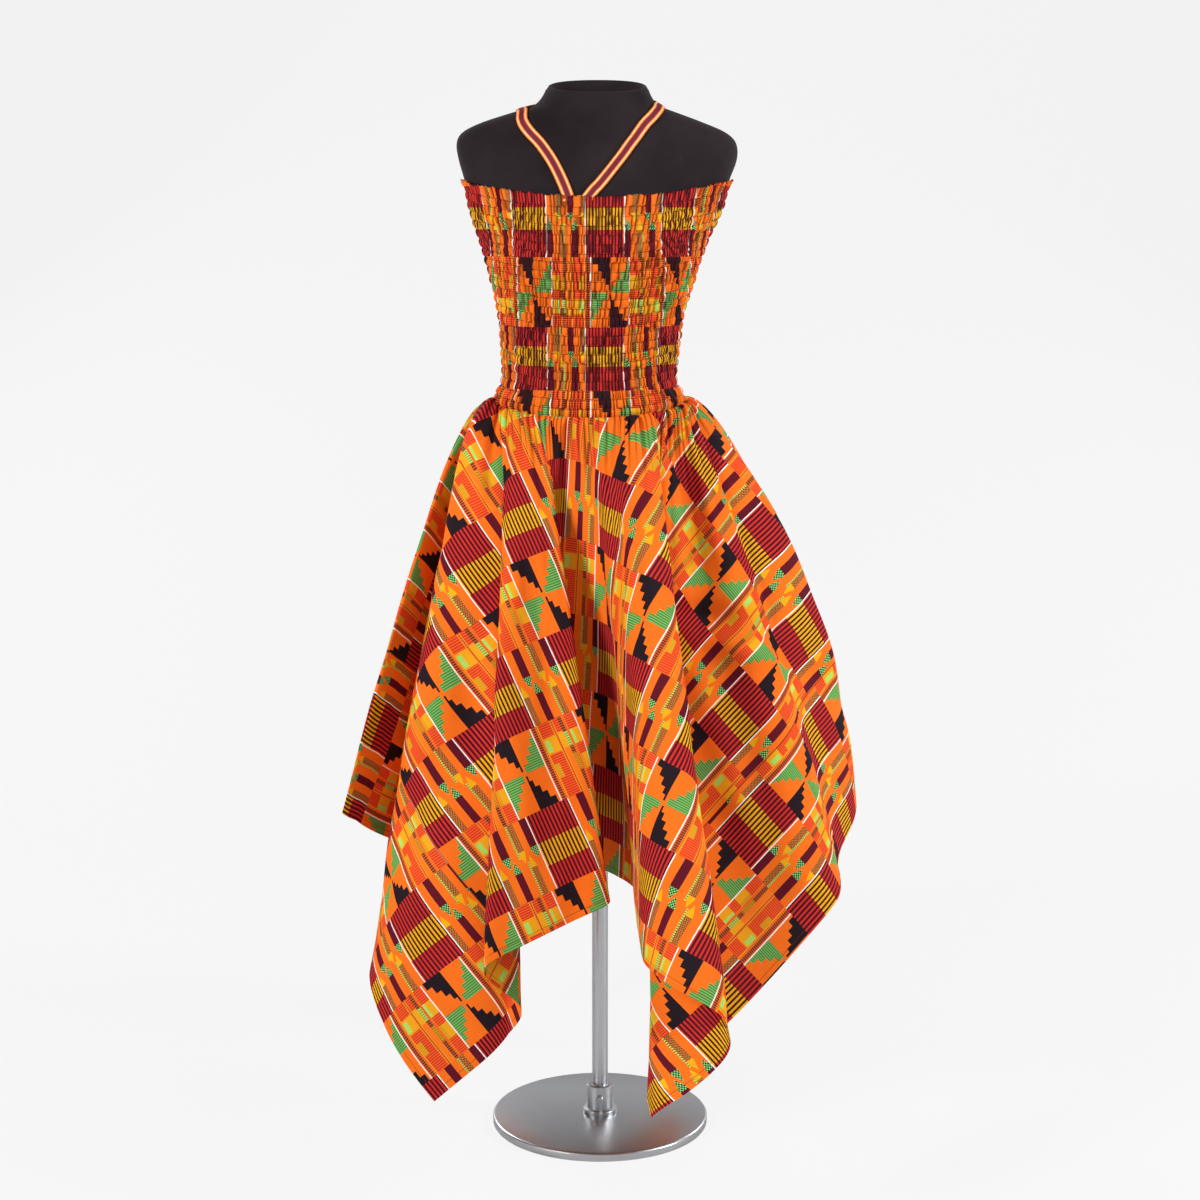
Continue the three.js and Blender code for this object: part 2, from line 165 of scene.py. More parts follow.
# The floor looks evenly lit, and sends only a little light back onto the dress. It curves up
# into a wall behind.
FLOOR_GLOW_SHARE = 0.86
FLOOR_REACH, WALL_TOP = 7000, 6000
SWEEP_START, SWEEP_RADIUS, SWEEP_STEPS = 1500, 2600, 24
floor_material, floor_tree, floor_shader = plain_material("pale floor", (0.6, 0.6, 0.6, 1), 0.7)
glow = new_node(floor_tree, "Emission", {"Color": (0.98, 0.98, 0.98, 1)})
floor_ray = new_node(floor_tree, "LightPath")
floor_mix = new_node(floor_tree, "MixShader")
glow_share = spread(floor_ray.outputs["Is Camera Ray"], 0, FLOOR_GLOW_SHARE)
wire(glow_share, floor_mix.inputs["Fac"])
wire(floor_shader.outputs["BSDF"], floor_mix.inputs[1])
wire(glow.outputs["Emission"], floor_mix.inputs[2])
wire(floor_mix.outputs["Shader"], floor_tree.nodes["Material Output"].inputs["Surface"])
floor_profile = [(-FLOOR_REACH, 0)] + [
    (SWEEP_START + SWEEP_RADIUS * math.sin(a), SWEEP_RADIUS * (1 - math.cos(a)))
    for a in np.linspace(0, math.pi / 2, SWEEP_STEPS)
] + [(SWEEP_START + SWEEP_RADIUS, WALL_TOP)]
floor_points = np.array([[(x, y, z) for y, z in floor_profile] for x in (FLOOR_REACH, -FLOOR_REACH)], float)
floor = grid_object("floor", floor_points, False, floor_material)


# ---- Stand ------------------------------------------------------------------------------
# A turned steel plate, a socket with a set screw, a straight pole and the flange under the
# form, all brushed round their axis. The pole drops into the socket and the screw grips it.
PLATE_RADIUS, PLATE_THICKNESS = 150, 12
POLE_RADIUS, POLE_TOP = 11, 739.4
SOCKET_TOP = 54
SOCKET_BOTTOM = 12.4
FLANGE_RADIUS, FLANGE_BOTTOM, FLANGE_TOP = 42, 739.7, 744.7
AT_AXIS = 0.01
SHARP_EDGE = 35


def noise(tree, place, scale, detail):
    """Soft uneven values over a surface."""
    made = new_node(tree, "TexNoise", {"Scale": scale, "Detail": detail})
    if place is not None:
        wire(place, made.inputs["Vector"])
    return made.outputs["Fac"]


def fine_relief(tree, shader, height, strength, distance):
    """Relief too fine for the mesh, which only catches the light. Its distance is in metres."""
    bump = new_node(tree, "Bump", {"Strength": strength, "Distance": distance})
    wire(height, bump.inputs["Height"])
    wire(bump.outputs["Normal"], shader.inputs["Normal"])


# Brushed while it turned: the grain is drawn out round the axis and close along it.
GRAIN_STRETCH = (6, 6, 900)
STEEL_SMOOTH, STEEL_ROUGH = 0.22, 0.42
steel, steel_tree, steel_shader = plain_material("brushed steel", dye(200, 202, 206), 0.3, 1.0)
steel_place = new_node(steel_tree, "TexCoord")
grain_place = new_node(steel_tree, "Mapping", {"Scale": GRAIN_STRETCH})
wire(steel_place.outputs["Object"], grain_place.inputs["Vector"])
grain = noise(steel_tree, grain_place.outputs["Vector"], 3, 4)
wire(spread(grain, STEEL_SMOOTH, STEEL_ROUGH), steel_shader.inputs["Roughness"])
fine_relief(steel_tree, steel_shader, grain, 0.08, 0.0004)


def lathed(name, profile, around=128):
    """A turned piece whose profile of radius and height runs from the top down the outside."""
    turns = np.linspace(0, 2 * math.pi, around, endpoint=False)
    radius, height = np.array(profile, float).T
    points = np.stack([
        np.outer(np.sin(turns), radius),
        -np.outer(np.cos(turns), radius),
        np.outer(np.ones(around), height),
    ], axis=-1)
    made = grid_object(name, points, True, steel)
    made.data.set_sharp_from_angle(angle=math.radians(SHARP_EDGE))
    return made


def finish_steel(piece, node):
    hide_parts(node)
    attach(piece, "root")


plate = lathed("plate", [
    (AT_AXIS, PLATE_THICKNESS), (PLATE_RADIUS - 3, PLATE_THICKNESS),
    (PLATE_RADIUS - 1.2, PLATE_THICKNESS - 0.7), (PLATE_RADIUS, PLATE_THICKNESS - 2.4),
    (PLATE_RADIUS, 1.5), (PLATE_RADIUS - 1, 0), (AT_AXIS, 0),
])
finish_steel(plate, "stand_plate")
socket = lathed("socket", [
    (11.3, SOCKET_TOP), (17.2, SOCKET_TOP), (18.6, SOCKET_TOP - 0.8), (19, SOCKET_TOP - 2.4), (19, 22),
    (19.6, 20), (23.4, 18.4), (24, 17.4), (24, SOCKET_BOTTOM), (11.3, SOCKET_BOTTOM), (11.3, SOCKET_TOP),
])
finish_steel(socket, "stand_socket")
pole = lathed("pole", [
    (AT_AXIS, POLE_TOP), (POLE_RADIUS, POLE_TOP), (POLE_RADIUS, SOCKET_BOTTOM), (AT_AXIS, SOCKET_BOTTOM),
], 64)
finish_steel(pole, "stand_pole")
flange = lathed("flange", [
    (AT_AXIS, FLANGE_TOP), (FLANGE_RADIUS, FLANGE_TOP), (FLANGE_RADIUS, FLANGE_BOTTOM + 1),
    (FLANGE_RADIUS - 1, FLANGE_BOTTOM), (AT_AXIS, FLANGE_BOTTOM),
])
finish_steel(flange, "form_flange")
# The set screw is turned upright with a hollow in its head, and then laid on its side.
SCREW_HEIGHT = 38
set_screw = lathed("set_screw", [
    (AT_AXIS, 27), (1.9, 27), (2, 28.2), (4.6, 28.2), (5, 27.7), (5, 18.6), (AT_AXIS, 18.6),
], 40)
set_screw.data.transform(
    Matrix.Translation(AXIS + np.array([0, 0, SCREW_HEIGHT]) * MM)
    @ Matrix.Rotation(math.radians(90), 4, "X")
    @ Matrix.Translation(-AXIS)
)
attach(set_screw, "root")


# ---- Dress form -------------------------------------------------------------------------
# A moulded limbless torso under a tight black jersey with a soft flock: rounded arm caps, and
# an open neck whose rim leans forward. It is fixed on the pole by the flange below it.
FORM_SECTIONS = np.array([
    # z, half width, half depth, x, y
    [745, 128, 78, -10, 6],
    [790, 133, 82, -10, 6],
    [850, 132, 84, -11, 5],
    [910, 127, 84, -12, 4],
    [960, 119, 84, -13, 3],
    [1004, 113, 84, -14, 2],
    [1048, 113, 85, -14, 0],
    [1089, 116, 88, -13, -2],
    [1125, 120, 92, -12, -4],
    [1157, 128, 97, -10, -6],
    [1193, 138, 102, -9, -7],
    [1223, 148, 104, -8, -6],
    [1255, 161, 101, -6, -4],
    [1300, 174, 90, -4, 0],
    [1328, 183, 79, -3, 4],
    [1349, 183, 70, -5, 6],
    [1362, 172, 66, -8, 7],
    [1374, 146, 64, -10, 8],
    [1388, 105, 62, -7, 8],
    [1395, 84, 60, -5, 8],
    [1408, 71, 58, -4, 8],
    [1431, 62, 57, -3, 8],
])
SQUARENESS = 0.89
BUST = {"x": 72, "z": 1215, "depth": 18, "width": 52, "height": 55}
NECK = {"rim": 1420, "tilt": 11, "wall": 7, "floor": 1345, "lean_from": 1395}
LIP = {"from": 1414, "middle": 1415, "rise": 5}
BOTTOM_TURN = {"from": 760, "in": 7, "down": 14}


def curve_through(table, column, at):
    """A smooth curve through one column of a table whose first column is the position."""
    place, value = table[:, 0], table[:, column]
    before = np.maximum(np.arange(len(place)) - 1, 0)
    after = np.minimum(np.arange(len(place)) + 1, len(place) - 1)
    slope = (value[after] - value[before]) / (place[after] - place[before])
    k = np.clip(np.searchsorted(place, at) - 1, 0, len(place) - 2)
    span = place[k + 1] - place[k]
    t = np.clip((at - place[k]) / span, 0, 1)
    return ((2 * t**3 - 3 * t**2 + 1) * value[k] + (t**3 - 2 * t**2 + t) * span * slope[k]
            + (3 * t**2 - 2 * t**3) * value[k + 1] + (t**3 - t**2) * span * slope[k + 1])


def form_point(z, degrees, grow=0.0):
    """Points of the torso at heights and angles from the centre front, moved out by grow."""
    z, degrees, grow = np.broadcast_arrays(np.asarray(z, float), np.asarray(degrees, float), grow)
    half_width, half_depth, x, y = (curve_through(FORM_SECTIONS, c, z) for c in (1, 2, 3, 4))
    side, front = np.sin(np.radians(degrees)), np.cos(np.radians(degrees))
    px = (half_width + grow) * np.sign(side) * np.abs(side) ** SQUARENESS
    py = -(half_depth + grow) * np.sign(front) * np.abs(front) ** SQUARENESS
    lift = np.exp(-(((z - BUST["z"]) / BUST["height"]) ** 2))
    across = np.exp(-(((np.abs(px) - BUST["x"]) / BUST["width"]) ** 2))
    py = py - BUST["depth"] * lift * across * np.maximum(front, 0) ** 0.5
    return np.stack([x + px, y + py, z], axis=-1)


FORM_AROUND = 200
form_angles = np.linspace(0, 360, FORM_AROUND, endpoint=False)


def form_ring(z, grow=0.0, rim=None):
    """One level ring of the torso, or with rim set the leaning ring of the neck at that height."""
    ring = form_point(z, form_angles, grow)
    if rim is not None:
        share = np.clip((rim - NECK["lean_from"]) / (NECK["rim"] - NECK["lean_from"]), 0, 1)
        ring[:, 2] = rim + share * NECK["tilt"] * ring[:, 1] / (NECK["wall"] + 50)
    return ring


# rings from the middle of the neck well's floor up its wall, over the lip and down the outside
well_floor = form_ring(NECK["rim"], -NECK["wall"], NECK["floor"])
middle_of_well = well_floor.mean(axis=0)
form_rings = [middle_of_well + (well_floor - middle_of_well) * share for share in (0.002, 0.5, 0.9, 0.985)]
form_rings += [form_ring(NECK["rim"], -NECK["wall"], rim)
               for rim in np.linspace(NECK["floor"] + 2, LIP["from"], 12)]
half_wall = NECK["wall"] / 2
for degrees in (30, 60, 90, 120, 150):
    lip = math.radians(degrees)
    form_rings.append(form_ring(NECK["rim"], -half_wall - half_wall * math.cos(lip),
                                LIP["middle"] + LIP["rise"] * math.sin(lip)))
form_rings += [form_ring(z, 0, z) for z in np.linspace(LIP["from"], NECK["lean_from"] + 1, 9)]
form_rings += [form_ring(z) for z in np.linspace(NECK["lean_from"] - 1, BOTTOM_TURN["from"], 170)]
form_rings += [form_ring(BOTTOM_TURN["from"], -BOTTOM_TURN["in"] + BOTTOM_TURN["in"] * math.cos(a))
               - [0, 0, BOTTOM_TURN["down"] * math.sin(a)] for a in np.linspace(0.2, math.pi / 2, 7)]
bottom = form_rings[-1].mean(axis=0)
form_rings += [bottom + (form_rings[-1] - bottom) * share for share in (0.97, 0.5, 0.002)]

# The jersey's black is a little patchy, with a short nap and a few specks of lint.
LINT_SCALE, LINT_EDGE, LINT_FULL = 75, 0.035, 0.02
LINT = dye(88, 80, 84)
jersey, jersey_tree, jersey_shader = plain_material("black flocked jersey", dye(44, 37, 40), 0.95)
set_up(jersey_shader, {
    "Specular IOR Level": 0.15, "Sheen Weight": 0.12, "Sheen Roughness": 0.5,
    "Sheen Tint": dye(150, 140, 145),
})
jersey_place = new_node(jersey_tree, "TexCoord").outputs["Object"]
patches = noise(jersey_tree, jersey_place, 9, 3)
jersey_colour = new_node(jersey_tree, "ValToRGB")
for stop, (at, colour) in zip(jersey_colour.color_ramp.elements,
                              [(0.3, dye(33, 27, 30)), (0.75, dye(50, 42, 45))]):
    stop.position = at
    stop.color = colour
wire(patches, jersey_colour.inputs["Fac"])
lint = new_node(jersey_tree, "TexVoronoi", {"Scale": LINT_SCALE})
wire(jersey_place, lint.inputs["Vector"])
lint_dot = new_node(jersey_tree, "MapRange", {"From Min": LINT_EDGE, "From Max": LINT_FULL})
wire(lint.outputs["Distance"], lint_dot.inputs["Value"])
with_lint = new_node(jersey_tree, "Mix")
with_lint.data_type = "RGBA"
with_lint.inputs["B"].default_value = LINT
wire(jersey_colour.outputs["Color"], with_lint.inputs["A"])
wire(lint_dot.outputs["Result"], with_lint.inputs["Factor"])
wire(with_lint.outputs["Result"], jersey_shader.inputs["Base Color"])
fine_relief(jersey_tree, jersey_shader, noise(jersey_tree, jersey_place, 900, 3), 0.35, 0.0006)

form = grid_object("dress_form", np.array(form_rings).transpose(1, 0, 2), True, jersey)
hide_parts("form_body")
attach(form, "root")


# ---- Bodice -----------------------------------------------------------------------------
# One width of the printed cotton, gathered on rows of thin elastic sewn round it, with a small
# ruffled heading above the first row. The elastic holds it on the form and the skirt hangs
# from its last row. The print is upside down to the skirt's.
CLOTH_ROW = 96.2
CLOTH_STRIP = 68.0
ORANGE = dye(252, 118, 32)
SCARLET = dye(222, 50, 36)
CRIMSON = dye(204, 50, 42)
MAROON = dye(104, 26, 42)
GOLD = dye(240, 172, 26)
OLIVE = dye(205, 160, 30)
MINT = dye(140, 238, 110)
LEAF = dye(72, 126, 56)
BLACK = dye(38, 28, 34)
TAN = dye(214, 130, 62)
WHITE = dye(255, 248, 238)


def maths(operation, *values):
    """One sum in the tree of its values: each is a number or another node's output."""
    tree = [value for value in values if not isinstance(value, (int, float))][0].id_data
    made = new_node(tree, "Math")
    made.operation = operation
    for socket, value in zip(made.inputs, values):
        if isinstance(value, (int, float)):
            socket.default_value = value
        else:
            wire(value, socket)
    return made.outputs[0]


def choose(mask, low, high):
    """The colour low where mask is 0 and high where it is 1."""
    made = new_node(mask.id_data, "Mix")
    made.data_type = "RGBA"
    for name, value in (("Factor", mask), ("A", low), ("B", high)):
        socket = [s for s in made.inputs if s.name == name and s.enabled][0]
        if isinstance(value, (tuple, float, int)):
            socket.default_value = value
        else:
            wire(value, socket)
    return [s for s in made.outputs if s.enabled][0]


def banded(position, bands):
    """Flat bands of colour along a position from 0 to 1, each listed with where it starts."""
    ramp = new_node(position.id_data, "ValToRGB")
    ramp.color_ramp.interpolation = "CONSTANT"
    stops = ramp.color_ramp.elements
    while len(stops) < len(bands):
        stops.new(1.0)
    while len(stops) > len(bands):
        stops.remove(stops[-1])
    for stop, (start, _) in zip(stops, bands):
        stop.position = start
    for stop, (_, colour) in zip(stops, bands):
        stop.color = colour
    wire(position, ramp.inputs["Fac"])
    return ramp.outputs["Color"]


def steps(position, levels):
    """A staircase of numbers along a position from 0 to 1."""
    return banded(position, [(start, (level, level, level, 1)) for start, level in levels])


def times(value, count):
    return maths("MULTIPLY", value, count)


def less(value, taken):
    return maths("SUBTRACT", value, taken)


def later_half(value, length):
    """1 in the second half of each repeat of this length."""
    return maths("GREATER_THAN", maths("FRACT", maths("DIVIDE", value, length)), 0.5)


def parts(share, count):
    """How far a share is along each of a count of equal parts, from 0 to 1."""
    return maths("FRACT", times(share, count))


def chequer(across, down, pitch):
    """1 on the dark squares of a small chequer, in millimetres."""
    return maths("COMPARE", later_half(across, pitch), later_half(down, pitch), 0.5)


RIBS = 12
FIRST_ROW_SHIFT = 9.2
FINE_PITCH, TIP_PITCH = 3.0, 4.0
LINE_REACH = 0.8


def kente_group():
    """Kente blocks: ribs over stairs in strip A, and bars over checks in strip B."""
    tree = bpy.data.node_groups.new("kente cloth", "ShaderNodeTree")
    for name in ("Across", "Down"):
        tree.interface.new_socket(name=name, in_out="INPUT", socket_type="NodeSocketFloat")
    tree.interface.new_socket(name="Color", in_out="OUTPUT", socket_type="NodeSocketColor")
    tree.interface.new_socket(name="Thread", in_out="OUTPUT", socket_type="NodeSocketFloat")
    given = tree.nodes.new("NodeGroupInput")
    result = tree.nodes.new("NodeGroupOutput")
    down = given.outputs["Down"]
    second_row = later_half(down, 2 * CLOTH_ROW)
    first_row_shift = times(less(1.0, second_row), FIRST_ROW_SHIFT)
    across = less(given.outputs["Across"], first_row_shift)
    y = maths("FRACT", maths("DIVIDE", down, CLOTH_ROW))
    pair = maths("FRACT", maths("DIVIDE", across, 2 * CLOTH_STRIP))
    strip_b = maths("GREATER_THAN", pair, 0.5)
    x = parts(pair, 2)
    x_mm = times(x, CLOTH_STRIP)
    fine = chequer(across, down, FINE_PITCH)
    hatch = later_half(down, FINE_PITCH)

    # ribs: three bands crossed by twelve dark stripes
    rib = maths("GREATER_THAN", parts(x, RIBS), 0.5)
    rib_light = banded(y, [(0, CRIMSON), (0.38, GOLD), (0.69, CRIMSON)])
    rib_dark = banded(y, [(0, dye(70, 20, 34)), (0.38, dye(74, 32, 30)), (0.69, dye(78, 22, 36))])
    ribs = choose(rib, rib_light, rib_dark)

    # stairs: each quarter holds a stepped triangle, black and green in turn
    left = maths("LESS_THAN", x, 0.5)
    top = maths("LESS_THAN", y, 0.5)

    def flipped(mask, value):
        return maths("ABSOLUTE", less(value, less(1.0, mask)))

    from_side = flipped(top, parts(x, 2))
    from_end = flipped(left, parts(y, 2))
    stair = steps(from_end, [
        (0, 0.12), (0.2, 0.36), (0.4, 0.58), (0.6, 0.78), (0.78, 0.92), (0.93, 1.0),
    ])
    in_stair = maths("GREATER_THAN", from_side, stair)
    is_black = maths("COMPARE", left, top, 0.5)
    leaf = choose(hatch, LEAF, dye(124, 184, 100))
    ground = choose(times(hatch, 0.35), ORANGE, dye(240, 92, 34))
    stairs = choose(in_stair, ground, choose(is_black, leaf, BLACK))

    # bars: dark bars and dotted strips whose pointed ends meet halfway
    bar_end, point_length, tip_start, edge_end = 0.54, 0.26, 0.38, 0.46
    bars = ground
    bar_dots = choose(fine, MAROON, dye(84, 20, 36))
    strip_dots = choose(fine, TAN, dye(96, 40, 30))
    tip_dots = choose(chequer(across, down, TIP_PITCH), BLACK, dye(128, 214, 122))
    dotted_edge = choose(hatch, dye(196, 92, 40), MINT)
    for middle, width, from_top, is_bar in (
        (18.5, 12, True, True), (42, 9.5, True, False), (62.2, 11.6, True, True),
        (5, 9.5, False, False), (26, 10.5, False, True), (50.5, 9.5, False, False),
    ):
        along = y if from_top else less(1.0, y)
        off = maths("ABSOLUTE", less(x_mm, middle))
        inside = maths("LESS_THAN", off, width / 2)
        pointed = less(bar_end, times(off, point_length / width))
        inside = times(inside, maths("LESS_THAN", along, pointed))
        tip = maths("GREATER_THAN", along, tip_start)
        look = choose(tip, bar_dots, tip_dots) if is_bar else choose(tip, strip_dots, GOLD)
        bars = choose(inside, bars, look)
        if not is_bar:
            edge = maths("COMPARE", x_mm, middle - width / 2 - 0.6, 1.3)
            edge = times(edge, maths("LESS_THAN", along, edge_end))
            bars = choose(edge, bars, dotted_edge)

    # checks: narrow columns of red, gold and mint between dark bars and thin lines
    checks = banded(x, [
        (0, ORANGE), (0.022, SCARLET), (0.034, MAROON), (0.113, ORANGE), (0.13, SCARLET), (0.147, GOLD),
        (0.165, ORANGE), (0.18, SCARLET), (0.456, GOLD), (0.47, CRIMSON), (0.507, GOLD), (0.522, SCARLET),
        (0.64, MAROON), (0.725, ORANGE), (0.742, SCARLET), (0.757, ORANGE), (0.78, SCARLET),
    ])
    for start, end, bands in (
        (0.18, 0.29, [(0, SCARLET), (0.19, GOLD), (0.22, MINT), (0.38, GOLD), (0.41, SCARLET), (0.54, OLIVE),
                      (0.73, SCARLET)]),
        (0.29, 0.456, [(0, SCARLET), (0.19, GOLD), (0.41, SCARLET)]),
        (0.522, 0.64, [(0, SCARLET), (0.18, GOLD), (0.40, ORANGE)]),
        (0.64, 0.725, [(0, MAROON), (0.2, MINT), (0.4, MAROON), (0.5, OLIVE), (0.72, MAROON)]),
        (0.78, 0.84, [(0, SCARLET), (0.2, MINT), (0.4, SCARLET), (0.54, OLIVE), (0.75, SCARLET)]),
        (0.84, 0.99, [(0, SCARLET), (0.2, GOLD), (0.4, SCARLET), (0.54, GOLD), (0.75, SCARLET)]),
    ):
        column = maths("COMPARE", x, (start + end) / 2, (end - start) / 2)
        checks = choose(column, checks, banded(y, bands))
    # the dark column between them is crossed by the hatch
    crossed = maths("COMPARE", x, 0.6825, 0.0425)
    crossed = times(crossed, times(hatch, 0.85))
    checks = choose(crossed, checks, BLACK)
    checks = choose(times(hatch, 0.45), checks, dye(252, 136, 48))

    strip_a_look = choose(second_row, ribs, stairs)
    strip_b_look = choose(second_row, bars, checks)
    colour = choose(strip_b, strip_a_look, strip_b_look)
    to_line = maths("ABSOLUTE", less(maths("FRACT", maths("ADD", x, 0.5)), 0.5))
    colour = choose(maths("LESS_THAN", to_line, LINE_REACH / CLOTH_STRIP), colour, WHITE)
    wire(colour, result.inputs["Color"])
    wire(hatch, result.inputs["Thread"])
    return tree


kente = kente_group()


def map_parts(tree, name):
    """The named map, and its two numbers."""
    read = new_node(tree, "UVMap")
    read.uv_map = name
    numbers = new_node(tree, "SeparateXYZ")
    wire(read.outputs["UV"], numbers.inputs[0])
    return read.outputs["UV"], numbers.outputs["X"], numbers.outputs["Y"]


# Painted shade: a dark red brown laid into the grooves between puckers, along the elastic lines and in the
# skirt's gathers, where shade falls.
PAINTED_SHADE = dye(70, 16, 14)
THREAD_REACH = 0.045
HEM_STITCH, HEM_TURN, STITCH_REACH, JOIN_REACH = 0.0085, 0.008, 0.0005, 0.0008


# The cottons below darken these valleys with painted shade, as well as sinking their bump there.
def valleys(count, unevenness, sharpness):
    """1 along the bottom of each narrow fold, from a count of folds, deeper in some places."""
    ridge = maths("ABSOLUTE", maths("SINE", times(count, math.pi)))
    valley = maths("POWER", less(1.0, ridge), sharpness)
    deeper = maths("ADD", 0.2, times(unevenness, 1.4))
    return maths("MINIMUM", times(valley, deeper), 1.0)


def cotton_material(name, shirred):
    """Printed cotton read through the map called cut. Shirred cloth has lines of elastic, with painted
    shade along them and in the grooves between its puckers. The skirt's has a stitched hem, joined
    widths and painted shade in its gathers that fades below the waist."""
    material, tree, shader = plain_material(name, ORANGE, 0.8)
    set_up(shader, {"Specular IOR Level": 0.12})
    cut, cut_x, cut_y = map_parts(tree, "cut")
    cloth = new_node(tree, "Group")
    cloth.node_tree = kente
    wire(times(cut_x, 1 / MM), cloth.inputs["Across"])
    wire(times(cut_y, 1 / MM), cloth.inputs["Down"])
    wash = noise(tree, cut, 14, 4)
    toned = new_node(tree, "VectorMath")
    toned.operation = "SCALE"
    wire(cloth.outputs["Color"], toned.inputs["Vector"])
    wire(spread(wash, 0.9, 1.08), toned.inputs["Scale"])
    colour = toned.outputs["Vector"]
    height = maths("ADD", noise(tree, cut, 420, 3), times(cloth.outputs["Thread"], 0.25))
    if shirred:
        _, pucker_count, row_level = map_parts(tree, "rows")
        phase = maths("FRACT", maths("ADD", row_level, 0.5))
        from_thread = maths("ABSOLUTE", less(phase, 0.5))
        thread_and_shade = maths("LESS_THAN", from_thread, THREAD_REACH)
        groove_depth_and_shade = valleys(pucker_count, wash, 1.0)
        # Painted shade in the grooves between the puckers; the same grooves also sink the bump below.
        colour = choose(times(groove_depth_and_shade, 0.95), colour, PAINTED_SHADE)
        # The elastic lines are darkened partly for the thread itself and partly as painted shade where the
        # cloth is drawn in.
        colour = choose(times(thread_and_shade, 0.5), colour, PAINTED_SHADE)
        height = less(height, times(thread_and_shade, 1.5))
        height = less(height, times(groove_depth_and_shade, 5.0))
    else:
        _, to_hem, to_join = map_parts(tree, "edges")
        hem_line = maths("COMPARE", to_hem, HEM_STITCH, STITCH_REACH)
        turned_in = maths("LESS_THAN", to_hem, HEM_TURN)
        join = maths("LESS_THAN", to_join, JOIN_REACH)
        colour = choose(times(hem_line, 0.5), colour, dye(120, 34, 26))
        colour = choose(times(join, 0.7), colour, dye(90, 26, 24))
        height = maths("ADD", height, times(turned_in, 1.2))
        sunk = maths("ADD", times(hem_line, 1.0), times(join, 2.0))
        _, gather_at, fallen = map_parts(tree, "gathers")
        lasts = times(wash, 0.16)
        fade = maths("MAXIMUM", less(1.0, maths("DIVIDE", fallen, lasts)), 0.0)
        # Painted shade along the valleys of the gathers, fading below the waist; the same valleys also sink
        # the bump.
        gather_depth_and_shade = times(valleys(gather_at, wash, 1.6), fade)
        colour = choose(times(gather_depth_and_shade, 0.9), colour, PAINTED_SHADE)
        height = less(height, maths("ADD", sunk, times(gather_depth_and_shade, 5.0)))
    wire(colour, shader.inputs["Base Color"])
    fine_relief(tree, shader, height, 0.35, 0.0005)
    return material


shirred_cotton = cotton_material("shirred printed cotton", True)

TOP_EDGE = {"z": 1300, "front_dip": 21}
WAIST = {"half_width": 122, "half_depth": 94, "x": -13, "z": 1010, "front_dip": 14}
FLARE = {"from": 1048, "over": 38, "depth": 7}
HEADING = 15
ELASTIC_ROWS = 24
PUCKERS = 118
BODICE_COLUMNS = PUCKERS * 6
PUCKER_DEPTH = 3.0
BODICE_WIDTH = 1160
FRONT_FULLNESS = 1.36


def front_share(degrees):
    return np.maximum(np.cos(np.radians(degrees)), 0) ** 2


def top_edge(degrees):
    return TOP_EDGE["z"] - TOP_EDGE["front_dip"] * front_share(degrees)


def waist_height(degrees):
    return WAIST["z"] - WAIST["front_dip"] * front_share(degrees)


# columns go round from the centre back, evenly along the body's outline
even = np.linspace(-180, 180, 1441)
ring_steps = np.linalg.norm(np.diff(form_point(1150, even, 3), axis=0), axis=1)
ring_share = np.concatenate([[0], np.cumsum(ring_steps)]) / ring_steps.sum()
around = np.linspace(0, 1, BODICE_COLUMNS + 1)
bodice_angles = np.interp(around, ring_share, even)

# rows of points: the turned-in facing, the heading, then five points to each elastic row
SEAM_OVERLAP = 2
facing = np.array([-1.6, -1.35, -1.1])
row_marks = np.concatenate([np.linspace(-1, 0, 7)[:-1], np.arange(0, ELASTIC_ROWS - 0.999, 0.2)])
levels = np.concatenate([facing, row_marks])
angle, level = np.meshgrid(bodice_angles, levels, indexing="ij")
share_round, _ = np.meshgrid(around, levels, indexing="ij")
edge_z, seam_z = top_edge(angle), waist_height(angle) - SEAM_OVERLAP
first_row_z = edge_z - HEADING
inside_facing = np.maximum(-1 - level, 0)
row_z = first_row_z + (seam_z - first_row_z) * np.maximum(level, 0) / (ELASTIC_ROWS - 1)
z = np.where(level < 0, first_row_z + HEADING * (np.minimum(-level, 1) - inside_facing * 1.4), row_z)

rng = np.random.default_rng(7)


def drift(share, number, waves, kept=0.0):
    """A smooth random wander round the body for each whole row number. Each row keeps this
    much of the wander of the row above it."""
    found = np.zeros_like(share)
    for wave in waves:
        rows = rng.normal(0, 1, (ELASTIC_ROWS + 3, 2)) / math.sqrt(wave)
        for row in range(1, len(rows)):
            rows[row] = kept * rows[row - 1] + math.sqrt(1 - kept**2) * rows[row]
        turn = 2 * math.pi * wave * share
        found += rows[number, 0] * np.sin(turn) + rows[number, 1] * np.cos(turn)
    return found


row_number = np.clip(np.floor(level + 1e-6), -1, ELASTIC_ROWS - 2).astype(int) + 1
within = np.clip(level + 1e-6 - np.floor(level + 1e-6), 0, 1)
wander = drift(share_round, row_number, (3, 7, 13, 23, 37, 52), 0.8)
wander += drift(share_round, row_number, (17, 31, 59, 71), 0.2) * 0.8
phase_round = PUCKERS * share_round + wander
pucker = np.abs(np.sin(math.pi * phase_round)) ** 0.7
unevenness = 1 + 0.5 * drift(share_round, row_number, (13, 29, 47, 61), 0.4)
between = np.where(level < 0, 0.35 + 0.65 * np.minimum(-level, 1), np.sin(math.pi * within) ** 0.6)
belt = np.clip(level - (ELASTIC_ROWS - 3), 0, 1)
depth = PUCKER_DEPTH * np.clip(unevenness, 0.3, 1.6) * (1 + 0.4 * belt)
tucked = np.clip((ELASTIC_ROWS - 1 - level) / 0.3, 0.7, 1)
ridge = depth * (0.4 + 0.6 * between) * pucker * tucked
flare = np.clip((FLARE["from"] - z) / FLARE["over"], 0, 1)
flare = flare**2 * (3 - 2 * flare) * FLARE["depth"]
